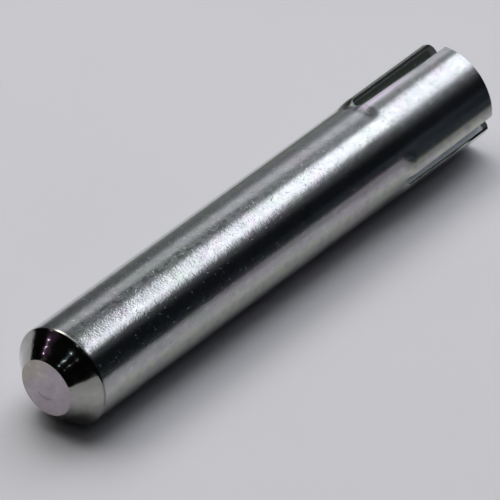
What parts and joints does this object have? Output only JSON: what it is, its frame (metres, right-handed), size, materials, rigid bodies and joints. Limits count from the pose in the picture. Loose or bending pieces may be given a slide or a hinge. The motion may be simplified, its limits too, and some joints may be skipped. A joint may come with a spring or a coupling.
{
  "type": "grooved pin",
  "caption": "Steel pin with a wide chamfered point and short lengthwise press-fit grooves with raised lips at its other end.",
  "frame": {"origin": "centre of the grooved end's flat face, which the pin stands on", "axes": "+Z along the pin's axis from the grooved end to the chamfered point; one groove faces -X"},
  "size_m": [0.0062, 0.0061, 0.036],
  "materials": {
    "zinc_plate": "bright zinc plate over fine turned steel, with a faint iridescent tint and small marks"
  },
  "bodies": {
    "root": {"grooved_pin": "zinc_plate"}
  },
  "joints": []
}
